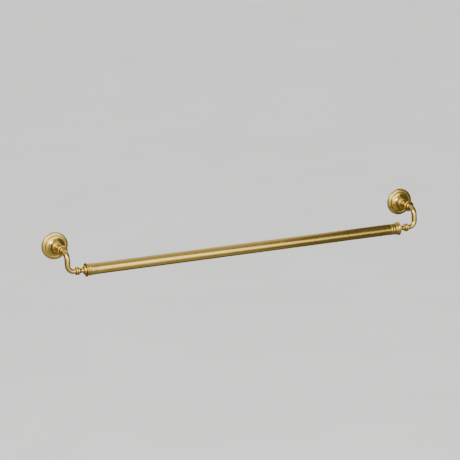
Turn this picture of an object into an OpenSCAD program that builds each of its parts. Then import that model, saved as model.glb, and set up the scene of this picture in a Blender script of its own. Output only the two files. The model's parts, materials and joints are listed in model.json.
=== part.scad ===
// Wall-hung towel rack. A round bar hangs between two turned wall mounts, each with a
// goose-neck arm that drops from the post and turns inward to the bar.
// Origin: the middle of the four wall fixings, on the wall. X runs along the bar, the
// front of the rack faces -Y, +Y goes into the wall, and Z points up.
// Outlines are [radius, distance] pairs: distance is from the wall on the pieces turned
// about a mount, and from the mount's centre plane on the pieces turned about the bar.

/* [Bar] */
// Distance between the centres of the two wall mounts
mount_spacing = 762; // [400:1:1000]
// Outside diameter of the bar tube
bar_d = 22; // [21:0.2:22.6]
// Wall thickness of the bar tube
bar_wall = 1.2; // [1:0.1:2]
// Distance from the wall to the axis of the bar
standoff = 67; // [64:0.5:75]
// Drop from the centre of a mount to the axis of the bar
drop = 36.4; // [34:0.2:44]
// Play between each arm's end and the bar end that turns against it
end_play = 0.5; // [0.4:0.1:1]

/* [Wall mounts] */
// Diameter of the turned wall plate
plate_d = 54; // [54:1:60]
// Height between the two wall screws of one mount
screw_pitch = 26; // [25:0.5:27]
// Length of a wall screw
wall_screw_length = 35; // [30:1:50]
// Diameter of a wall anchor
anchor_d = 6; // [5.5:0.5:7]
// Length of a wall anchor
anchor_length = 32; // [28:1:40]

/* [Arms] */
// Diameter of a goose-neck arm
arm_d = 10.4; // [10:0.2:11]
// Radius of the upper bend's centre line
upper_bend = 14; // [12:0.5:15]
// Radius of the lower bend's centre line
lower_bend = 13; // [11:0.5:13]
// Lean of the arm's drop away from the wall, in degrees
lean = 6; // [0:0.5:10]

/* [Hidden] */
brass = [0.74, 0.60, 0.34];
steel = [0.70, 0.70, 0.71];
nylon = [0.88, 0.87, 0.83];

// Running and sliding fits: play on the radius
fit_gap = 0.05;
// How far a cutter runs past the face that it opens
past = 1;
// Facets of a turned piece, and of a small screw or bore
turned_fn = 96;
small_fn = 48;

// Distances from the wall along a mount
web_back = 11;
web_front = 14.3;
neck_start = 19.3;
neck_waist = 28;
neck_end = 40.6;
socket_floor = 36;
shoulder = 42.2;
collar_middle = 42.6;
knob_end = 47.6;

// Radii of the wall plate and the parts behind it. The flank is a hollow curve: its slope
// is in degrees from the wall at its foot, and its steep end meets the web.
plate_r = plate_d / 2;
rim_corner = 2.2;
rim_height = 3.2;
band_middle = plate_r - 5.3;
band_curve = 6.2;
groove_level = 5.7;
groove_width = 0.4;
flank_foot = [plate_r - 7.6, 6.2];
flank_curve = 12.2;
flank_slope = 12;
flank_steep = 68;
flank_centre = flank_foot + flank_curve * [sin(flank_slope), cos(flank_slope)];
web_edge_r = 10.3;
cavity_r = plate_r - 5.2;
cavity_depth = 4.3;
bolt_room_r = 9;
bracket_r = cavity_r - 0.3;
bracket_t = 4;
bracket_eye_r = 7;

// Radii of the post: its spigot in the plate, its foot and ring, neck, collar and socket,
// and how far the neck widens from its waist to each end
spigot_r = 5;
spigot_step = 0.8;
socket_r = 4.85;
post_ring_r = 9.9;
post_ring_half = 1.7;
foot_h = 0.9;
foot_inset = 0.4;
neck_r = 6.3;
neck_foot_flare = 1.3;
neck_top_flare = 2.5;
collar_r = 10.8;
collar_half = 1.5;
lip_inner_r = 8.5;
lip_half = 0.8;
lip_level = 43.3;
sunk_face_r = 8.3;

// The arm's root in the socket, and its knob
root_gap = 0.3;
knob_seat_r = 5.6;
knob_middle = 44.9;
knob_r = 7;
knob_half = 2.1;

// Set screw: an M3 grub screw through the bottom of the rim, into the bracket's groove
grub_r = 1.45;
grub_level = 2.2;
grub_key_r = 0.87;
grub_key_depth = 2;
groove_depth = 1.4;
grub_tip_gap = 0.45;
grub_tip_r = 0.3;
grub_inset = 0.3;

// Wall screws: 4 mm countersunk, with a cross recess and a pointed end
screw_r = 2;
screw_head_r = 4;
screw_hole_r = 2.2;
screw_point = 4;
cross_length = 4.4;
cross_width = 0.9;
cross_depth = 1.6;

// Post bolt: M5 x 40 cap screw with its washer behind the plate's web
bolt_r = 2.5;
bolt_head_r = 4.25;
bolt_head_h = 5;
bolt_head_edge = 0.4;
bolt_key_r = 2.31;
bolt_key_depth = 2.5;
bolt_point = 0.8;
bolt_run_out = 0.6;
bolt_length = 40;
bolt_hole_r = 2.8;
washer_t = 1.2;
washer_r = 8;
bolt_seat = web_back - washer_t;
bolt_end = bolt_seat + bolt_length;

// The arm's centre line: out of the post, down with a lean, then inboard along the bar.
// Its straight stretches are a hair thicker than the bends and lap over their ends.
arm_r = arm_d / 2;
stretch_r = arm_r + 0.05;
lap = 0.05;
drop_length = (drop - upper_bend * (1 - sin(lean))) / cos(lean) - lower_bend;
arm_reach = standoff - upper_bend * cos(lean) - (drop_length + lower_bend) * sin(lean);
drop_top = [0, -(arm_reach + upper_bend * cos(lean)), -upper_bend * (1 - sin(lean))];
drop_foot = drop_top + drop_length * [0, -sin(lean), -cos(lean)];

// Distances from a mount's centre plane along the bar, and radii about the bar's axis
rings = [[8.1, 18], [7.9, 21.8]];
ring_half = 1.9;
ring_lead = 0.5;
arm_taper = 0.4;
arm_tip_r = 4.6;
arm_end = 25.7;
bar_start = arm_end + end_play;
bar_neck_r = 4.5;
bar_neck_edge = 0.4;
bar_neck_lead = 0.6;
neck_bore_r = 3.35;
bell_mouth = 36.4;
bell_end = 37.8;
bell_curve = 5;
bell_r = 8.8;
lip_middle = 38;
lip_r = 1.1;
flange_r = 13.8;
cove_middle = 41.2;
cove_r = 11.1;
cove_curve = 2;
bead_middle = 44.8;
bead_r = 12.1;
bead_half = 1.8;
bead_foot = 2.6;
low_rings = [51, 56];
low_ring_curve = 2.8;
low_ring_half = 1.9;
low_ring_h = 0.45;
end_proud = 0.1;
tube_start = 58;
spigot_end = 73;
pin_r = 3;
pin_start = 14;
pin_end = 60;
pin_edge = 0.5;
bush_r = 6;
bush_start = 45;
bush_end = pin_end;
bar_r = bar_d / 2;
tube_bore_r = bar_r - bar_wall;
tube_length = mount_spacing - 2 * tube_start;

// Points of a round stretch of an outline, from one angle to another
function arc(centre, r, from, to, n = 8) =
    [for (i = [0 : n]) let (a = from + (to - from) * i / n) centre + r * [cos(a), sin(a)]];

// Radius of the post's waisted neck at a distance from the wall
function neck_radius(s) =
    s < neck_waist
        ? neck_r + neck_foot_flare * pow((neck_waist - s) / (neck_waist - neck_start), 2)
        : neck_r + neck_top_flare * pow((s - neck_waist) / (neck_end - neck_waist), 2);

// The neck's outline between two distances
function neck_outline(from, to, n) =
    [for (i = [0 : n]) let (s = from + (to - from) * i / n) [neck_radius(s), s]];

// Places a piece that is drawn about the origin at the left or the right mount
module left_side() translate([-mount_spacing / 2, 0, 0]) children();
module right_side() mirror([1, 0, 0]) left_side() children();

// Turns an outline about the mount's axis, out from the wall
module turned_out(outline, fn = turned_fn)
    rotate([90, 0, 0]) rotate_extrude($fn = fn) polygon(outline);

// Turns an outline about the bar's axis, inboard from the mount's centre plane
module turned_along(outline, fn = turned_fn)
    translate([0, -standoff, -drop]) rotate([0, 90, 0]) rotate_extrude($fn = fn) polygon(outline);

// Repeats a piece at the two wall screws of one mount
module at_wall_screws()
    for (side = [-1, 1]) translate([0, 0, side * screw_pitch / 2]) children();

// Nylon wall plugs: a plain collar, then a ribbed shank that is split to spread
module wall_anchors() color(nylon) at_wall_screws() wall_anchor();

module wall_anchor() {
    anchor_r = anchor_d / 2;
    collar = 8;
    rib_pitch = 3;
    rib_gap = 1;
    rib_depth = 0.35;
    split = 0.8;
    nose = [0.8, 2];
    ribs = floor((anchor_length - collar - rib_pitch) / rib_pitch);
    difference() {
        turned_out([
            [screw_r + fit_gap, 0], [anchor_r, 0], [anchor_r, nose[1] - anchor_length],
            [anchor_r - nose[0], -anchor_length], [screw_r + fit_gap, -anchor_length]
        ], small_fn);
        for (i = [1 : ribs]) turned_out([
            [anchor_r - rib_depth, -collar - i * rib_pitch],
            [anchor_r + past, -collar - i * rib_pitch],
            [anchor_r + past, rib_gap - collar - i * rib_pitch],
            [anchor_r - rib_depth, rib_gap - collar - i * rib_pitch]
        ], small_fn);
        translate([-split / 2, collar, -anchor_r - past])
            cube([split, anchor_length, anchor_d + 2 * past]);
    }
}

// Countersunk wall screws with a cross recess and a pointed tip
module wall_screws() color(steel) at_wall_screws() wall_screw();

module wall_screw() {
    tip = bracket_t - wall_screw_length;
    difference() {
        turned_out([
            [0, tip], [screw_r, tip + screw_point], [screw_r, bracket_t - screw_head_r + screw_r],
            [screw_head_r, bracket_t], [0, bracket_t]
        ], small_fn);
        for (turn = [0, 90]) rotate([0, turn, 0])
            translate([-cross_length / 2, -bracket_t - past, -cross_width / 2])
                cube([cross_length, cross_depth + past, cross_width]);
    }
}

// Steel disc on the wall, with a V groove in its edge for the set screw
module wall_bracket() color(steel) difference() {
    turned_out([
        [bracket_eye_r, 0], [bracket_r, 0], [bracket_r, grub_level - groove_depth],
        [bracket_r - groove_depth, grub_level], [bracket_r, grub_level + groove_depth],
        [bracket_r, bracket_t], [bracket_eye_r, bracket_t]
    ]);
    at_wall_screws() turned_out([
        [0, -past], [screw_hole_r, -past], [screw_hole_r, bracket_t - screw_head_r + screw_hole_r],
        [screw_head_r, bracket_t], [screw_head_r, bracket_t + past], [0, bracket_t + past]
    ], small_fn);
}

// Grub screw with a hexagon socket, standing in the bottom of the rim
module set_screw() color(steel) {
    tip = bracket_r - groove_depth + grub_tip_gap;
    full = tip + grub_r - grub_tip_r;
    outer = plate_r - grub_inset;
    translate([0, -grub_level, 0]) rotate([180, 0, 0]) difference() {
        rotate_extrude($fn = small_fn)
            polygon([[0, tip], [grub_tip_r, tip], [grub_r, full], [grub_r, outer], [0, outer]]);
        translate([0, 0, outer - grub_key_depth])
            cylinder(h = grub_key_depth + past, r = grub_key_r, $fn = 6);
    }
}

// Turned wall plate: rim, low band and hollow flank in front, and a recess over the bracket
// behind
module escutcheon() color(brass) difference() {
    turned_out(concat(
        [[spigot_r + fit_gap, web_back], [bolt_room_r, web_back]],
        [[bolt_room_r, cavity_depth], [cavity_r, cavity_depth], [cavity_r, 0], [plate_r, 0]],
        arc([plate_r - rim_corner, rim_height], rim_corner, 0, 90),
        arc([band_middle, 0], band_curve, 60, 100),
        [[flank_foot[0] + 2 * groove_width, groove_level], [flank_foot[0] + groove_width, groove_level]],
        arc(flank_centre, flank_curve, 270 - flank_slope, 270 - flank_steep, 16),
        [[web_edge_r, web_front], [spigot_r + fit_gap, web_front]]
    ));
    translate([0, -grub_level, -plate_r - past])
        cylinder(h = plate_r - bracket_r + past, r = grub_r + fit_gap, $fn = small_fn);
}

// Turned post: a foot and a ring on the plate, a waisted neck and a collar with a sunk face
module post() color(brass) turned_out(concat(
    [[bolt_hole_r, web_back + spigot_step], [spigot_r, web_back + spigot_step]],
    [[spigot_r, web_front], [post_ring_r - foot_inset, web_front]],
    [[post_ring_r - foot_inset, web_front + foot_h]],
    arc([post_ring_r - post_ring_half, neck_start - post_ring_half], post_ring_half, -90, 90, 12),
    neck_outline(neck_start, neck_end, 20),
    arc([collar_r - collar_half, collar_middle], collar_half, -80, 90, 12),
    arc([lip_inner_r + lip_half, lip_level], lip_half, 105, 180, 4),
    [[sunk_face_r, shoulder], [socket_r, shoulder]],
    [[socket_r, socket_floor], [bolt_hole_r, socket_floor]]
));

// Cap screw from behind the plate, through the post and into the arm
module post_bolt() color(steel) {
    head = bolt_seat - bolt_head_h;
    shank_r = bolt_r - fit_gap;
    difference() {
        turned_out([
            [0, head], [bolt_head_r - bolt_head_edge, head], [bolt_head_r, head + bolt_head_edge],
            [bolt_head_r, bolt_seat], [shank_r, bolt_seat], [shank_r, bolt_end - bolt_point],
            [shank_r - bolt_point, bolt_end], [0, bolt_end]
        ], small_fn);
        translate([0, past - head, 0]) rotate([90, 0, 0])
            cylinder(h = bolt_key_depth + past, r = bolt_key_r, $fn = 6);
    }
}

module post_washer() color(steel) turned_out([
    [bolt_hole_r, bolt_seat], [washer_r, bolt_seat], [washer_r, web_back], [bolt_hole_r, web_back]
], small_fn);

// Goose-neck arm: root and knob in the post, two bends, and a double ring at the bar
module arm() color(brass) difference() {
    union() {
        turned_out(concat(
            [[0, socket_floor + root_gap], [socket_r - fit_gap, socket_floor + root_gap]],
            [[socket_r - fit_gap, shoulder], [knob_seat_r, shoulder]],
            arc([knob_r - knob_half, knob_middle], knob_half, -60, 62),
            [[stretch_r, knob_end], [stretch_r, arm_reach + lap], [0, arm_reach + lap]]
        ));
        arm_bends();
        turned_along(concat(
            [[0, lower_bend - lap], [stretch_r, lower_bend - lap], [stretch_r, lower_bend + ring_lead]],
            [[arm_r - arm_taper, rings[0][1] - ring_half - ring_lead]],
            ring_outline(rings[0]),
            ring_outline(rings[1]),
            [[arm_tip_r, arm_end], [0, arm_end]]
        ));
    }
    bore_end = bolt_end + bolt_run_out;
    turned_out([[0, 0], [bolt_r, 0], [bolt_r, bore_end], [0, bore_end]], small_fn);
    turned_along([
        [0, pin_start], [pin_r, pin_start], [pin_r, arm_end + past], [0, arm_end + past]
    ], small_fn);
}

// One half-round ring of the arm's end, from [radius, distance]
function ring_outline(ring) =
    arc([ring[0] - ring_half, ring[1]], ring_half, -80, 80);

// One low ring of the bar end, with the plain stretch on either side of it
function low_ring_outline(middle) = concat(
    [[bar_r + end_proud, middle - low_ring_half]],
    arc([bar_r + low_ring_h - low_ring_curve, middle], low_ring_curve, -28, 28, 6),
    [[bar_r + end_proud, middle + low_ring_half]]
);

// The two bends and the drop between them
module arm_bends() {
    translate([0, -arm_reach, -upper_bend]) rotate([180, -90, 0])
        rotate_extrude(angle = 90 - lean, $fn = turned_fn)
            translate([upper_bend, 0]) circle(arm_r, $fn = small_fn);
    translate(drop_top) rotate([180 - lean, 0, 0]) translate([0, 0, -lap])
        cylinder(h = drop_length + 2 * lap, r = stretch_r, $fn = small_fn);
    translate(drop_foot + [lower_bend, 0, 0]) rotate([90 - lean, 0, 0]) rotate([0, 0, 180])
        rotate_extrude(angle = 90, $fn = turned_fn)
            translate([lower_bend, 0]) circle(arm_r, $fn = small_fn);
}

// Pin on which one end of the bar turns
module spindle() color(steel) turned_along([
    [0, pin_start], [pin_r - fit_gap, pin_start], [pin_r - fit_gap, pin_end - pin_edge],
    [pin_r - fit_gap - pin_edge, pin_end], [0, pin_end]
], small_fn);

// Turned bar end: neck, bell, flange, cove, bead and two low rings, and a spigot in the tube
module bar_end() color(brass) turned_along(concat(
    [[neck_bore_r, bar_start], [bar_neck_r + bar_neck_edge, bar_start]],
    [[bar_neck_r + bar_neck_edge, bar_start + bar_neck_lead]],
    [[bar_neck_r, bar_start + bar_neck_lead + 2 * bar_neck_edge]],
    arc([bell_r - bell_curve, bell_mouth], bell_curve, -80, 0, 12),
    [[bell_r, bell_end]],
    arc([flange_r - lip_r, lip_middle], lip_r, -170, 90, 16),
    arc([cove_r + cove_curve, cove_middle], cove_curve, 210, 150, 6),
    arc([bead_r - bead_half, bead_middle], bead_half, -62, 62),
    [[bar_r + end_proud, bead_middle + bead_foot]],
    low_ring_outline(low_rings[0]),
    low_ring_outline(low_rings[1]),
    [[bar_r + end_proud, tube_start], [tube_bore_r - fit_gap, tube_start]],
    [[tube_bore_r - fit_gap, spigot_end], [bush_r, spigot_end]],
    [[bush_r, bush_start], [neck_bore_r, bush_start]]
));

module bush() color(nylon) turned_along([
    [pin_r, bush_start], [bush_r, bush_start], [bush_r, bush_end], [pin_r, bush_end]
], small_fn);

// The bar itself: one long tube over the spigots of the two bar ends
module bar_tube() color(brass)
    translate([-tube_length / 2, -standoff, -drop]) rotate([0, 90, 0]) difference() {
        cylinder(h = tube_length, r = bar_r, $fn = turned_fn);
        translate([0, 0, -past]) cylinder(h = tube_length + 2 * past, r = tube_bore_r, $fn = turned_fn);
    }

bar_tube();
left_side() wall_anchors();  // left_wall_anchors
right_side() wall_anchors();  // right_wall_anchors
left_side() wall_screws();  // left_wall_screws
right_side() wall_screws();  // right_wall_screws
left_side() wall_bracket();  // left_wall_bracket
right_side() wall_bracket();  // right_wall_bracket
left_side() set_screw();  // left_set_screw
right_side() set_screw();  // right_set_screw
left_side() escutcheon();  // left_escutcheon
right_side() escutcheon();  // right_escutcheon
left_side() post();  // left_post
right_side() post();  // right_post
left_side() post_bolt();  // left_post_bolt
right_side() post_bolt();  // right_post_bolt
left_side() post_washer();  // left_post_washer
right_side() post_washer();  // right_post_washer
left_side() arm();  // left_arm
right_side() arm();  // right_arm
left_side() spindle();  // left_spindle
right_side() spindle();  // right_spindle
left_side() bar_end();  // left_bar_end
right_side() bar_end();  // right_bar_end
left_side() bush();  // left_bush
right_side() bush();  // right_bush
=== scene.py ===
import json
import math

import bmesh
import bpy
from mathutils import Matrix, Vector


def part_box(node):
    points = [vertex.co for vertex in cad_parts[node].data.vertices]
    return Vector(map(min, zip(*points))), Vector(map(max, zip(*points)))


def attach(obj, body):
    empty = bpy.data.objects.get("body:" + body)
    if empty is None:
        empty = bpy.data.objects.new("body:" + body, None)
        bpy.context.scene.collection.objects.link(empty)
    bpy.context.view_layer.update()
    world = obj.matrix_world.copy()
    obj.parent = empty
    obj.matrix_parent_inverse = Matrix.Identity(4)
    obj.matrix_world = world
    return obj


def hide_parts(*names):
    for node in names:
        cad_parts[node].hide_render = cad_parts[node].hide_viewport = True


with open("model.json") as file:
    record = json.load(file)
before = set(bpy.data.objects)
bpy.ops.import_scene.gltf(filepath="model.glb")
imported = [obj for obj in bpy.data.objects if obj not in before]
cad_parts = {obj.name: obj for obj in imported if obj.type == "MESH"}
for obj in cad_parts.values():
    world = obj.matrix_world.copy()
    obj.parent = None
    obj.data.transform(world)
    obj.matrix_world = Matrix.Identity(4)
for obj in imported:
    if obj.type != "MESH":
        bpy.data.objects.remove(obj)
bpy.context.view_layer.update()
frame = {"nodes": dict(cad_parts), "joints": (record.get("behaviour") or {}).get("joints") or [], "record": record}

# ---------------------------------------------------------------- places from the frame
# Metres, in the CAD frame: X along the bar, +Y into the wall, Z up.
MM = 0.001
SIDES = {"left": -1, "right": 1}
bar_joint = next(joint for joint in frame["joints"] if joint["name"] == "bar_spin")
anchor = next(mount for mount in frame["record"]["mounts"] if mount["name"] == "right_upper_anchor")
STANDOFF = -bar_joint["pos_m"][1]
DROP = -bar_joint["pos_m"][2]
MOUNT_X = anchor["pos_m"][0]


def node_size(node):
    """Width, depth and height of a CAD node."""
    low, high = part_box(node)
    return high - low


PLATE_R = node_size("left_escutcheon").x / 2
BAR_R = node_size("bar_tube").z / 2
TUBE_LENGTH = node_size("bar_tube").x
TUBE_START = MOUNT_X - TUBE_LENGTH / 2

# ---------------------------------------------------------------- camera
VIEW_AZIMUTH = math.radians(-25.73)
VIEW_ELEVATION = math.radians(15.58)
VIEW_DISTANCE = 5.659
VIEW_CENTRE = Vector((-0.003, 0, -0.0146))
SENSOR_WIDTH = 36
FOCAL_LENGTH = 222
FAR_CLIP = 100


def make_camera():
    """A long lens, to the left of the rack and a little above it."""
    camera = bpy.data.objects.new("camera", bpy.data.cameras.new("camera"))
    back = Vector((
        math.sin(VIEW_AZIMUTH) * math.cos(VIEW_ELEVATION),
        -math.cos(VIEW_AZIMUTH) * math.cos(VIEW_ELEVATION),
        math.sin(VIEW_ELEVATION),
    ))
    camera.data.sensor_width = SENSOR_WIDTH
    camera.data.lens = FOCAL_LENGTH
    camera.data.clip_end = FAR_CLIP
    camera.location = VIEW_CENTRE + back * VIEW_DISTANCE
    camera.rotation_mode = "QUATERNION"
    camera.rotation_quaternion = (-back).to_track_quat("-Z", "Y")
    bpy.context.scene.collection.objects.link(camera)
    bpy.context.scene.camera = camera


# ---------------------------------------------------------------- floor and light
# The rack hangs at the usual height of a towel rail, so the floor is that far below it.
FLOOR_Z = -1.2
FLOOR_SIDE = 80
WARM = (1, 0.98, 0.945)
PALER = (1, 0.985, 0.96)
WHITE = (1, 1, 1)
SUN_SPREAD = math.radians(70)
SUN_TILT = math.radians(-25), math.radians(-15), 0


def make_floor(material):
    """One pale sheet, wide enough to fill the view behind the rack."""
    mesh = bpy.data.meshes.new("floor")
    half = FLOOR_SIDE / 2
    corners = [(-half, -half), (half, -half), (half, half), (-half, half)]
    mesh.from_pydata([(x, y, FLOOR_Z) for x, y in corners], [], [(0, 1, 2, 3)])
    floor = bpy.data.objects.new("floor", mesh)
    bpy.context.scene.collection.objects.link(floor)
    floor.data.materials.append(material)
    floor.visible_glossy = False


def area_light(name, place, aim, size, radiance, colour=WHITE):
    """A rectangular soft light of a given brightness, turned to a point."""
    light = bpy.data.lights.new(name, "AREA")
    light.shape = "RECTANGLE"
    light.size, light.size_y = size
    light.energy = radiance * math.pi * size[0] * size[1]
    light.color = colour
    lamp = bpy.data.objects.new(name, light)
    lamp.location = place
    lamp.rotation_euler = (Vector(aim) - Vector(place)).to_track_quat("-Z", "Y").to_euler()
    lamp.visible_camera = False
    bpy.context.scene.collection.objects.link(lamp)


def floor_light(name, strength):
    """Very soft light from above for the whole floor, which the metal doesn't mirror."""
    light = bpy.data.lights.new(name, "SUN")
    light.energy = strength
    light.angle = SUN_SPREAD
    lamp = bpy.data.objects.new(name, light)
    lamp.rotation_euler = SUN_TILT
    lamp.visible_glossy = False
    bpy.context.scene.collection.objects.link(lamp)


def make_world():
    """A dim room all round the metal, and a pale backdrop behind the floor."""
    world = bpy.data.worlds.new("studio")
    world.use_nodes = True
    tree = world.node_tree
    room = tree.nodes["Background"]
    room.inputs["Color"].default_value = (0.62, 0.60, 0.58, 1)
    room.inputs["Strength"].default_value = 0.25
    backdrop = tree.nodes.new("ShaderNodeBackground")
    backdrop.inputs["Color"].default_value = (0.98, 0.97, 0.955, 1)
    backdrop.inputs["Strength"].default_value = 1.15
    seen = tree.nodes.new("ShaderNodeLightPath")
    choice = tree.nodes.new("ShaderNodeMixShader")
    tree.links.new(seen.outputs["Is Camera Ray"], choice.inputs[0])
    tree.links.new(room.outputs[0], choice.inputs[1])
    tree.links.new(backdrop.outputs[0], choice.inputs[2])
    tree.links.new(choice.outputs[0], tree.nodes["World Output"].inputs["Surface"])
    bpy.context.scene.world = world


def make_lights():
    """A bright room in front, dimmer low down and to the right, and a window at the upper left."""
    # name, place, point it faces, width and height, brightness, colour
    area_light("room", (-0.4, -2.1, 0.85), (-0.4, 0, 0.85), (3.1, 2.1), 3.1, WARM)
    area_light("room_right", (1.46, -2.1, 0.2), (1.46, 0, 0.2), (0.6, 1.1), 1.1, WARM)
    area_light("room_low", (-0.55, -2.1, -0.7), (-0.55, 0, -0.7), (3.3, 1.0), 0.78, WARM)
    area_light("low_glow", (-0.66, -1.15, -1.19), (-0.66, -1.15, 0), (2.7, 1.9), 0.28, WARM)
    area_light("left_side", (-2.5, -1.1, -0.35), (0, -1.1, -0.35), (1.7, 1.7), 0.6, WARM)
    area_light("ceiling", (-0.4, -0.5, 1.3), (-0.4, -0.5, 0), (2.3, 1.7), 0.42, PALER)
    area_light("window", (-1.7, -1.35, 1.45), (0, -0.05, 0), (1.4, 1.4), 9.0, PALER)
    area_light("wall_side", (-0.6, 0.5, 0.45), (-0.6, -0.06, 0), (2.4, 1.0), 0.75)
    floor_light("floor_wash", 4.6)


# ---------------------------------------------------------------- materials
def new_material(name):
    """An empty node material with its shader, and the two functions that wire it."""
    material = bpy.data.materials.new(name)
    material.use_nodes = True
    tree = material.node_tree
    shader = tree.nodes["Principled BSDF"]

    def node(kind, **settings):
        made = tree.nodes.new(kind)
        for key, value in settings.items():
            if key in made.inputs:
                made.inputs[key].default_value = value
            else:
                setattr(made, key, value)
        return made

    def link(output, socket):
        tree.links.new(output, socket)

    return material, shader, node, link


def ramp(node, low, high, start=0.3, end=0.7):
    """A colour ramp between two colours."""
    made = node("ShaderNodeValToRGB")
    made.color_ramp.elements[0].position = start
    made.color_ramp.elements[0].color = low
    made.color_ramp.elements[1].position = end
    made.color_ramp.elements[1].color = high
    return made


def brass_material():
    """Satin brass under lacquer: turning lines, faint clouding, and painted shade that darkens the grooves."""
    material, shader, node, link = new_material("satin_brass")
    shader.inputs["Metallic"].default_value = 1
    shader.inputs["Specular Tint"].default_value = (1, 0.88, 0.62, 1)
    shader.inputs["Anisotropic"].default_value = 0.35
    shader.inputs["Coat Weight"].default_value = 0.25
    shader.inputs["Coat Roughness"].default_value = 0.12
    turning = node("ShaderNodeAttribute", attribute_name="turning")
    stretch = node("ShaderNodeMapping")
    stretch.inputs["Scale"].default_value = (12, 12, 5000)
    lines = node("ShaderNodeTexNoise", Scale=1.0, Detail=3.0, Roughness=0.6)
    link(turning.outputs["Vector"], stretch.inputs["Vector"])
    link(stretch.outputs["Vector"], lines.inputs["Vector"])
    bump = node("ShaderNodeBump", Strength=0.22, Distance=0.00004)
    link(lines.outputs["Fac"], bump.inputs["Height"])
    link(bump.outputs["Normal"], shader.inputs["Normal"])
    place = node("ShaderNodeTexCoord")
    clouds = node("ShaderNodeTexNoise", Scale=45.0, Detail=4.0, Roughness=0.55)
    link(place.outputs["Object"], clouds.inputs["Vector"])
    tone = ramp(node, (0.58, 0.40, 0.085, 1), (0.66, 0.465, 0.112, 1))
    link(clouds.outputs["Fac"], tone.inputs["Fac"])
    # Painted shade: the base colour is darkened where ambient occlusion finds grooves and hollows.
    groove = node("ShaderNodeAmbientOcclusion", samples=6, only_local=True, Distance=0.0025)
    shade = ramp(node, (0.44, 0.39, 0.32, 1), (1, 1, 1, 1), 0.25, 0.75)
    link(groove.outputs["AO"], shade.inputs["Fac"])
    # The painted groove shade is multiplied into the clouded brass tone.
    groove_shaded = node("ShaderNodeMixRGB", blend_type="MULTIPLY", Fac=1.0)
    link(tone.outputs["Color"], groove_shaded.inputs["Color1"])
    link(shade.outputs["Color"], groove_shaded.inputs["Color2"])
    link(groove_shaded.outputs["Color"], shader.inputs["Base Color"])
    dull = node("ShaderNodeMapRange")
    dull.inputs["To Min"].default_value = 0.17
    dull.inputs["To Max"].default_value = 0.25
    link(clouds.outputs["Fac"], dull.inputs["Value"])
    link(dull.outputs["Result"], shader.inputs["Roughness"])
    return material


def steel_material():
    """Zinc-plated steel: pale, slightly blue, with a fine crystalline grain."""
    material, shader, node, link = new_material("plated_steel")
    shader.inputs["Metallic"].default_value = 1
    place = node("ShaderNodeTexCoord")
    grain = node("ShaderNodeTexNoise", Scale=900.0, Detail=4.0, Roughness=0.6)
    patches = node("ShaderNodeTexVoronoi", Scale=420.0)
    link(place.outputs["Object"], grain.inputs["Vector"])
    link(place.outputs["Object"], patches.inputs["Vector"])
    tone = ramp(node, (0.50, 0.50, 0.50, 1), (0.62, 0.63, 0.65, 1), 0.1, 0.9)
    link(patches.outputs["Distance"], tone.inputs["Fac"])
    link(tone.outputs["Color"], shader.inputs["Base Color"])
    dull = node("ShaderNodeMapRange")
    dull.inputs["To Min"].default_value = 0.28
    dull.inputs["To Max"].default_value = 0.45
    link(grain.outputs["Fac"], dull.inputs["Value"])
    link(dull.outputs["Result"], shader.inputs["Roughness"])
    bump = node("ShaderNodeBump", Strength=0.12, Distance=0.00005)
    link(grain.outputs["Fac"], bump.inputs["Height"])
    link(bump.outputs["Normal"], shader.inputs["Normal"])
    return material


def nylon_material():
    """Moulded nylon: off-white, faintly waxy, with a fine mould texture."""
    material, shader, node, link = new_material("nylon")
    shader.inputs["Subsurface Weight"].default_value = 0.1
    shader.inputs["Subsurface Radius"].default_value = (0.002, 0.002, 0.0015)
    place = node("ShaderNodeTexCoord")
    grain = node("ShaderNodeTexNoise", Scale=1500.0, Detail=3.0)
    link(place.outputs["Object"], grain.inputs["Vector"])
    tone = ramp(node, (0.66, 0.64, 0.58, 1), (0.72, 0.70, 0.64, 1))
    link(grain.outputs["Fac"], tone.inputs["Fac"])
    link(tone.outputs["Color"], shader.inputs["Base Color"])
    shader.inputs["Roughness"].default_value = 0.48
    bump = node("ShaderNodeBump", Strength=0.15, Distance=0.00004)
    link(grain.outputs["Fac"], bump.inputs["Height"])
    link(bump.outputs["Normal"], shader.inputs["Normal"])
    return material


def floor_material():
    """Pale matt studio floor."""
    material, shader, node, link = new_material("studio_floor")
    place = node("ShaderNodeTexCoord")
    mottle = node("ShaderNodeTexNoise", Scale=3.0, Detail=3.0)
    link(place.outputs["Object"], mottle.inputs["Vector"])
    tone = ramp(node, (0.74, 0.73, 0.72, 1), (0.78, 0.77, 0.76, 1))
    link(mottle.outputs["Fac"], tone.inputs["Fac"])
    link(tone.outputs["Color"], shader.inputs["Base Color"])
    shader.inputs["Roughness"].default_value = 0.9
    return material


BRASS = brass_material()
STEEL = steel_material()
NYLON = nylon_material()

# ---------------------------------------------------------------- outlines, in millimetres
# A corner is broken by a round of this size, or a smaller one where its sides are short:
# at most this share of the shorter side.
CORNER = 0.22
CORNER_SHARE = 0.3
CORNER_STEPS = 4
# A corner that turns by fewer degrees than this stays as it is.
SMOOTH_TURN = 28


def arc(centre, radius, start, end, steps=8):
    """Points of a round stretch of an outline, from one angle to another in degrees."""
    angles = [math.radians(start + (end - start) * i / steps) for i in range(steps + 1)]
    return [(centre[0] + radius * math.cos(a), centre[1] + radius * math.sin(a)) for a in angles]


def eased(outline):
    """The closed outline with each corner broken by a small round and held by support points."""
    done = []
    count = len(outline)
    for i, point in enumerate(outline):
        before, after = Vector(outline[i - 1]), Vector(outline[(i + 1) % count])
        here = Vector(point)
        to_before, to_after = before - here, after - here
        turn = 180 - math.degrees(to_before.angle(to_after))
        if turn < SMOOTH_TURN:
            done.append(tuple(here))
            continue
        room = min(to_before.length, to_after.length) * CORNER_SHARE
        cut = min(CORNER * math.tan(math.radians(turn / 2)), room)
        first, last = to_before.normalized() * cut, to_after.normalized() * cut
        done.append(tuple(here + first * 2))
        for step in range(CORNER_STEPS + 1):
            t = step / CORNER_STEPS
            done.append(tuple(here + first * (1 - t) ** 2 + last * t ** 2))
        done.append(tuple(here + last * 2))
    return done


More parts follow.
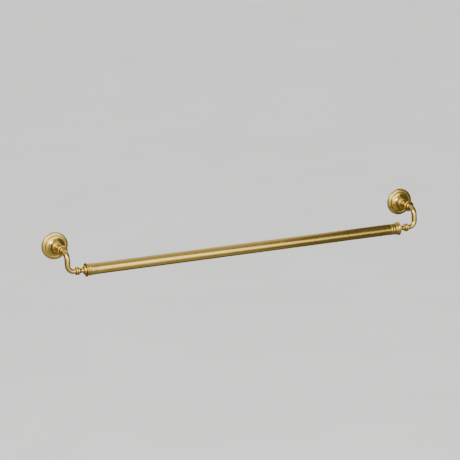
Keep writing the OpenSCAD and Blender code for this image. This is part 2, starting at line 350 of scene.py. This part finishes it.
# ---------------------------------------------------------------- mesh builders
# Points round a turned piece, round the arm and round a drilled hole.
TURN_STEPS = 128
ARM_STEPS = 72
HOLE_STEPS = 48
# Faces that meet at more than this angle keep a sharp edge between them.
SHARP = math.radians(40)
# An outline's point with a smaller radius than this is on the axis.
ON_AXIS = 1e-6
# Drilling can leave slivers narrower than this, in metres, and they are merged away.
SLIVER = 0.002 * MM
# How far a drill starts outside the face that it opens, in mm.
PAST = 1


def smooth(mesh):
    """Smooth shading, with the edges at real corners kept sharp."""
    mesh.polygons.foreach_set("use_smooth", [True] * len(mesh.polygons))
    mesh.set_sharp_from_angle(angle=SHARP)


def finish_mesh(name, bm, material, turning):
    """Makes an object from a bmesh: smooth, one material, and its turning-line coordinates."""
    bmesh.ops.recalc_face_normals(bm, faces=bm.faces)
    mesh = bpy.data.meshes.new(name)
    bm.to_mesh(mesh)
    bm.free()
    smooth(mesh)
    layer = mesh.attributes.new("turning", "FLOAT_VECTOR", "POINT")
    layer.data.foreach_set("vector", [value for point in turning for value in point])
    mesh.materials.append(material)
    piece = bpy.data.objects.new(name, mesh)
    bpy.context.scene.collection.objects.link(piece)
    return piece


def turned(name, outline, material, place):
    """A piece turned about its own Z axis from a closed outline in mm, put at a place."""
    bm = bmesh.new()
    turning = []
    rings = []
    travel = 0
    for i, (radius, height) in enumerate(outline):
        travel += math.dist(outline[i - 1], outline[i]) * MM if i else 0
        on_axis = radius < ON_AXIS
        ring = []
        for step in range(1 if on_axis else TURN_STEPS):
            angle = math.tau * step / TURN_STEPS
            cos, sin = math.cos(angle), math.sin(angle)
            ring.append(bm.verts.new((radius * cos * MM, radius * sin * MM, height * MM)))
            turning.append((cos * radius * MM, sin * radius * MM, travel))
        rings.append(ring)
    for ring, after in zip(rings, rings[1:] + rings[:1]):
        join_rings(bm, ring, after)
    piece = finish_mesh(name, bm, material, turning)
    piece.matrix_world = place
    return piece


def join_rings(bm, ring, after):
    """Faces between two rings of points, either of which may be one point on the axis."""
    count = max(len(ring), len(after))
    if count == 1:
        return
    for i in range(count):
        corners = [ring[i % len(ring)], ring[(i + 1) % len(ring)]]
        corners += [after[(i + 1) % len(after)], after[i % len(after)]]
        bm.faces.new(list(dict.fromkeys(corners)))


def swept(name, path, outline, material):
    """A round piece along a path: path(distance) gives a point and a direction."""
    bm = bmesh.new()
    turning = []
    rings = []
    side = Vector((1, 0, 0))
    for radius, distance in outline:
        point, direction = path(distance)
        side = (side - direction * side.dot(direction)).normalized()
        up = direction.cross(side)
        on_axis = radius < ON_AXIS
        ring = []
        for step in range(1 if on_axis else ARM_STEPS):
            angle = math.tau * step / ARM_STEPS
            offset = side * math.cos(angle) + up * math.sin(angle)
            ring.append(bm.verts.new((point + offset * radius) * MM))
            reach = radius * MM
            turning.append((reach * math.cos(angle), reach * math.sin(angle), distance * MM))
        rings.append(ring)
    for ring, after in zip(rings, rings[1:]):
        join_rings(bm, ring, after)
    return finish_mesh(name, bm, material, turning)


def drill(piece, radius, start, end):
    """Cuts a round hole in a piece, between two points of its own frame in mm."""
    start, end = Vector(start) * MM, Vector(end) * MM
    turn = (end - start).to_track_quat("Z", "Y").to_matrix().to_4x4()
    bm = bmesh.new()
    bmesh.ops.create_cone(
        bm, cap_ends=True, segments=HOLE_STEPS, radius1=radius * MM, radius2=radius * MM,
        depth=(end - start).length,
        matrix=piece.matrix_world @ (Matrix.Translation((start + end) / 2) @ turn))
    mesh = bpy.data.meshes.new("drill")
    bm.to_mesh(mesh)
    bm.free()
    cutter = bpy.data.objects.new("drill", mesh)
    bpy.context.scene.collection.objects.link(cutter)
    cut = piece.modifiers.new("hole", "BOOLEAN")
    cut.operation = "DIFFERENCE"
    cut.solver = "EXACT"
    cut.object = cutter
    bpy.context.view_layer.update()
    solid = piece.evaluated_get(bpy.context.evaluated_depsgraph_get())
    drilled = bpy.data.meshes.new_from_object(solid)
    piece.modifiers.remove(cut)
    bpy.data.objects.remove(cutter)
    bm = bmesh.new()
    bm.from_mesh(drilled)
    bmesh.ops.remove_doubles(bm, verts=bm.verts, dist=SLIVER)
    bmesh.ops.dissolve_degenerate(bm, edges=bm.edges, dist=SLIVER)
    bm.to_mesh(drilled)
    bm.free()
    piece.data = drilled
    smooth(drilled)


def out_from_wall(side):
    """Places a turned piece's Z axis along a mount's axis, out from the wall."""
    sign = SIDES[side]
    return Matrix.Translation((sign * MOUNT_X, 0, 0)) @ Matrix.Rotation(math.pi / 2, 4, "X")


def in_along_bar(side):
    """Places a turned piece's Z axis along the bar, inboard from a mount's centre plane."""
    sign = SIDES[side]
    start = Matrix.Translation((sign * MOUNT_X, -STANDOFF, -DROP))
    return start @ Matrix.Rotation(-sign * math.pi / 2, 4, "Y")


# ---------------------------------------------------------------- turned outlines
# [radius, distance] in mm: from the wall for the mount's pieces, from the mount's centre
# plane for the bar's. Each round is drawn by its middle and its half height.
PLATE = PLATE_R / MM
BAR = BAR_R / MM
TUBE_FROM = TUBE_START / MM

# Along a mount
WEB_BACK = 11
WEB_FRONT = 14.3
NECK_START = 19.3
NECK_WAIST = 28
NECK_END = 40.6
SOCKET_FLOOR = 36
SHOULDER = 42.2

# The wall plate, and the hole for its set screw
RIM_CORNER = 2.2
RIM_HEIGHT = 3.2
BAND_MIDDLE = PLATE - 5.3
BAND_CURVE = 6.2
GROOVE_LEVEL = 5.7
GROOVE_WIDTH = 0.4
FLANK_FOOT_R = PLATE - 7.6
FLANK_FOOT_LEVEL = 6.2
FLANK_CURVE = 12.2
FLANK_SLOPE = 12
FLANK_STEEP = 68
WEB_EDGE_R = 10.3
WEB_BORE_R = 5.05
BOLT_ROOM_R = 9
CAVITY_R = PLATE - 5.2
CAVITY_DEPTH = 4.3
GRUB_HOLE_R = 1.5
GRUB_HOLE_END = PLATE - 5.4
GRUB_LEVEL = 2.2

# The post
SPIGOT_R = 5
SPIGOT_END = 11.8
BOLT_HOLE_R = 2.8
FOOT_R = 9.5
FOOT_TOP = 15.2
POST_RING_R = 9.9
POST_RING_HALF = 1.7
NECK_R = 6.3
NECK_FOOT_FLARE = 1.3
NECK_TOP_FLARE = 2.5
NECK_STEPS = 28
COLLAR_R = 10.8
COLLAR_MIDDLE = 42.6
COLLAR_HALF = 1.5
LIP_INNER_R = 8.5
LIP_LEVEL = 43.3
LIP_HALF = 0.8
SUNK_FACE_R = 8.3
SOCKET_R = 4.85

# The bar end
BAR_START = 26.2
BAR_NECK_R = 4.5
BAR_NECK_EDGE = 0.4
BAR_NECK_LEAD = 0.6
NECK_BORE_R = 3.35
BELL_R = 8.8
BELL_CURVE = 5
BELL_MOUTH = 36.4
BELL_END = 37.8
FLANGE_R = 13.8
FLANGE_MIDDLE = 38
FLANGE_HALF = 1.1
COVE_R = 11.1
COVE_MIDDLE = 41.2
COVE_CURVE = 2
BEAD_R = 12.1
BEAD_MIDDLE = 44.8
BEAD_HALF = 1.8
BEAD_END = 47.4
LOW_RINGS = (51, 56)
LOW_RING_H = 0.45
LOW_RING_HALF = 1.9
LOW_RING_CURVE = 2.8
PLAIN_R = BAR + 0.1
SPIGOT_IN_TUBE_R = 9.75
SPIGOT_IN_TUBE_END = 73
BUSH_R = 6
BUSH_START = 45
TUBE_BORE_R = 9.8


def plate_outline():
    """Rim, low band and hollow flank in front, and the recess over the bracket behind."""
    outline = [(WEB_BORE_R, WEB_BACK), (BOLT_ROOM_R, WEB_BACK), (BOLT_ROOM_R, CAVITY_DEPTH)]
    outline += [(CAVITY_R, CAVITY_DEPTH), (CAVITY_R, 0), (PLATE, 0)]
    outline += arc((PLATE - RIM_CORNER, RIM_HEIGHT), RIM_CORNER, 0, 90)
    outline += arc((BAND_MIDDLE, 0), BAND_CURVE, 60, 100, 12)
    outline += [(FLANK_FOOT_R + 2 * GROOVE_WIDTH, GROOVE_LEVEL)]
    outline += [(FLANK_FOOT_R + GROOVE_WIDTH, GROOVE_LEVEL)]
    slope = math.radians(FLANK_SLOPE)
    middle = FLANK_FOOT_R + FLANK_CURVE * math.sin(slope)
    level = FLANK_FOOT_LEVEL + FLANK_CURVE * math.cos(slope)
    outline += arc((middle, level), FLANK_CURVE, 270 - FLANK_SLOPE, 270 - FLANK_STEEP, 24)
    return eased(outline + [(WEB_EDGE_R, WEB_FRONT), (WEB_BORE_R, WEB_FRONT)])


def neck_radius(s):
    """Radius of the post's waisted neck at a distance from the wall."""
    if s < NECK_WAIST:
        return NECK_R + NECK_FOOT_FLARE * ((NECK_WAIST - s) / (NECK_WAIST - NECK_START)) ** 2
    return NECK_R + NECK_TOP_FLARE * ((s - NECK_WAIST) / (NECK_END - NECK_WAIST)) ** 2


def post_outline():
    """Foot and ring, waisted neck and a collar with a sunk face, bored for its screw."""
    outline = [(BOLT_HOLE_R, SPIGOT_END), (SPIGOT_R, SPIGOT_END), (SPIGOT_R, WEB_FRONT)]
    outline += [(FOOT_R, WEB_FRONT), (FOOT_R, FOOT_TOP)]
    ring = (POST_RING_R - POST_RING_HALF, NECK_START - POST_RING_HALF)
    outline += arc(ring, POST_RING_HALF, -90, 90, 16)
    for step in range(NECK_STEPS + 1):
        s = NECK_START + (NECK_END - NECK_START) * step / NECK_STEPS
        outline.append((neck_radius(s), s))
    outline += arc((COLLAR_R - COLLAR_HALF, COLLAR_MIDDLE), COLLAR_HALF, -80, 90, 16)
    outline += arc((LIP_INNER_R + LIP_HALF, LIP_LEVEL), LIP_HALF, 105, 180, 6)
    outline += [(SUNK_FACE_R, SHOULDER), (SOCKET_R, SHOULDER)]
    return eased(outline + [(SOCKET_R, SOCKET_FLOOR), (BOLT_HOLE_R, SOCKET_FLOOR)])


def bar_end_outline():
    """Neck, bell, flange, cove, bead and two low rings, and the spigot in the tube."""
    edge_r, edge_end = BAR_NECK_R + BAR_NECK_EDGE, BAR_START + BAR_NECK_LEAD
    outline = [(NECK_BORE_R, BAR_START), (edge_r, BAR_START), (edge_r, edge_end)]
    outline += [(BAR_NECK_R, edge_end + 2 * BAR_NECK_EDGE)]
    outline += arc((BELL_R - BELL_CURVE, BELL_MOUTH), BELL_CURVE, -80, 0, 16)
    outline += [(BELL_R, BELL_END)]
    outline += arc((FLANGE_R - FLANGE_HALF, FLANGE_MIDDLE), FLANGE_HALF, -170, 90, 20)
    outline += arc((COVE_R + COVE_CURVE, COVE_MIDDLE), COVE_CURVE, 210, 150, 8)
    outline += arc((BEAD_R - BEAD_HALF, BEAD_MIDDLE), BEAD_HALF, -62, 62, 12)
    outline += [(PLAIN_R, BEAD_END)]
    for middle in LOW_RINGS:
        outline += [(PLAIN_R, middle - LOW_RING_HALF)]
        outline += arc((BAR + LOW_RING_H - LOW_RING_CURVE, middle), LOW_RING_CURVE, -28, 28, 8)
        outline += [(PLAIN_R, middle + LOW_RING_HALF)]
    outline += [(PLAIN_R, TUBE_FROM), (SPIGOT_IN_TUBE_R, TUBE_FROM)]
    outline += [(SPIGOT_IN_TUBE_R, SPIGOT_IN_TUBE_END), (BUSH_R, SPIGOT_IN_TUBE_END)]
    return eased(outline + [(BUSH_R, BUSH_START), (NECK_BORE_R, BUSH_START)])


def tube_outline():
    """The bar's tube, drawn from its left end."""
    length = TUBE_LENGTH / MM
    return eased([(TUBE_BORE_R, 0), (BAR, 0), (BAR, length), (TUBE_BORE_R, length)])


# ---------------------------------------------------------------- the goose-neck arm
# In mm. ROOT and the knob's places are distances from the wall. The rings and the tip are
# distances from the mount's centre plane. Between them the stem swells a little near its
# middle and thins a little toward the rings.
ARM_R = 5.2
UPPER_BEND = 14
LOWER_BEND = 13
LEAN = math.radians(6)
ROOT = 36.3
ROOT_R = 4.8
ROOT_EDGE = 0.3
KNOB_SEAT_R = 5.6
KNOB_R = 7
KNOB_MIDDLE = 44.9
KNOB_HALF = 2.1
KNOB_END = 47.6
SWELL = 0.25
SWELL_REACH = 1.15
TAPER = 0.45
TAPER_FROM = 0.55
STEM_STEPS = 60
STEM_END = 15
RINGS = ((8.1, 18), (7.9, 21.8))
RING_HALF = 1.9
TIP_R = 4.6
TIP_END = 25.7
PIN_BORE_R = 3.05
PIN_BORE_START = 15


def arm_route(side):
    """The arm's centre line in mm, as a function of the distance along it from its root.

    Also gives the distance that stands for the mount's centre plane on the bar's axis.
    """
    inboard = -SIDES[side]
    standoff, drop = STANDOFF / MM, DROP / MM
    fall = (drop - UPPER_BEND * (1 - math.sin(LEAN))) / math.cos(LEAN) - LOWER_BEND
    reach = standoff - UPPER_BEND * math.cos(LEAN) - (fall + LOWER_BEND) * math.sin(LEAN)
    out, down = Vector((0, -1, 0)), Vector((0, -math.sin(LEAN), -math.cos(LEAN)))
    along = Vector((inboard, 0, 0))
    start = Vector((SIDES[side] * MOUNT_X / MM, 0, 0))
    straight_out = reach - ROOT
    upper_length = UPPER_BEND * (math.pi / 2 - LEAN)
    lower_length = LOWER_BEND * math.pi / 2
    upper_centre = start + out * reach + Vector((0, 0, -UPPER_BEND))
    upper_end = upper_centre + UPPER_BEND * Vector((0, -math.cos(LEAN), math.sin(LEAN)))
    lower_start = upper_end + down * fall
    lower_end = lower_start + LOWER_BEND * (along + down)
    marks = [straight_out, upper_length, fall, lower_length]

    def route(distance):
        if distance < marks[0]:
            return start + out * (ROOT + distance), out
        distance -= marks[0]
        if distance < marks[1]:
            angle = distance / UPPER_BEND
            spoke = Vector((0, -math.sin(angle), math.cos(angle)))
            return upper_centre + spoke * UPPER_BEND, Vector((0, -math.cos(angle), -math.sin(angle)))
        distance -= marks[1]
        if distance < marks[2]:
            return upper_end + down * distance, down
        distance -= marks[2]
        if distance < marks[3]:
            angle = distance / LOWER_BEND
            turn = along * (1 - math.cos(angle)) + down * math.sin(angle)
            return lower_start + turn * LOWER_BEND, along * math.sin(angle) + down * math.cos(angle)
        return lower_end + along * (distance - marks[3]), along

    return route, sum(marks) - LOWER_BEND


def arm_outline(bar_zero):
    """Radius along the arm: root, knob, a faint swell at mid-length, two rings and the tip."""
    shoulder = SHOULDER - ROOT
    outline = [(0, 0), (ROOT_R - ROOT_EDGE, 0), (ROOT_R, ROOT_EDGE), (ROOT_R, shoulder)]
    outline += [(KNOB_SEAT_R, shoulder)]
    outline += arc((KNOB_R - KNOB_HALF, KNOB_MIDDLE - ROOT), KNOB_HALF, -60, 62, 14)
    first, last = KNOB_END - ROOT, bar_zero + STEM_END
    for step in range(STEM_STEPS + 1):
        t = step / STEM_STEPS
        swell = SWELL * math.sin(math.pi * min(1, t * SWELL_REACH))
        taper = TAPER * max(0, t - TAPER_FROM) / (1 - TAPER_FROM)
        outline.append((ARM_R + swell - taper, first + (last - first) * t))
    for radius, middle in RINGS:
        outline += arc((radius - RING_HALF, bar_zero + middle), RING_HALF, -80, 80, 14)
    bore_start = bar_zero + PIN_BORE_START
    outline += [(TIP_R, bar_zero + TIP_END), (PIN_BORE_R, bar_zero + TIP_END)]
    return outline + [(PIN_BORE_R, bore_start), (0, bore_start)]


# ---------------------------------------------------------------- the rack
def dress(node, material):
    """Gives a CAD node its material, and smooth shading where its faces are curved."""
    mesh = frame["nodes"][node].data
    mesh.materials.clear()
    mesh.materials.append(material)
    smooth(mesh)


def brass_piece(piece, body, node):
    """Says which body a brass piece rides on and which CAD node it replaces."""
    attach(piece, body)
    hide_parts(node)


def make_mount(side):
    """The pieces of one wall mount."""
    plate = turned(f"{side}_wall_plate", plate_outline(), BRASS, out_from_wall(side))
    outside, inside = (0, -PLATE - PAST, GRUB_LEVEL), (0, -GRUB_HOLE_END, GRUB_LEVEL)
    drill(plate, GRUB_HOLE_R, outside, inside)
    brass_piece(plate, "rack", f"{side}_escutcheon")
    post = turned(f"{side}_turned_post", post_outline(), BRASS, out_from_wall(side))
    brass_piece(post, "rack", f"{side}_post")
    route, bar_zero = arm_route(side)
    arm = swept(f"{side}_goose_neck", route, arm_outline(bar_zero), BRASS)
    brass_piece(arm, "rack", f"{side}_arm")
    end = turned(f"{side}_turned_bar_end", bar_end_outline(), BRASS, in_along_bar(side))
    brass_piece(end, "bar", f"{side}_bar_end")
    for part in ("wall_screws", "wall_bracket", "set_screw", "post_bolt", "post_washer", "spindle"):
        dress(f"{side}_{part}", STEEL)
    for part in ("wall_anchors", "bush"):
        dress(f"{side}_{part}", NYLON)


def make_bar():
    """The tube between the two bar ends."""
    start = Matrix.Translation((-TUBE_LENGTH / 2, -STANDOFF, -DROP))
    place = start @ Matrix.Rotation(math.pi / 2, 4, "Y")
    brass_piece(turned("bar", tube_outline(), BRASS, place), "bar", "bar_tube")


make_camera()
make_floor(floor_material())
make_lights()
make_world()
for side in SIDES:
    make_mount(side)
make_bar()
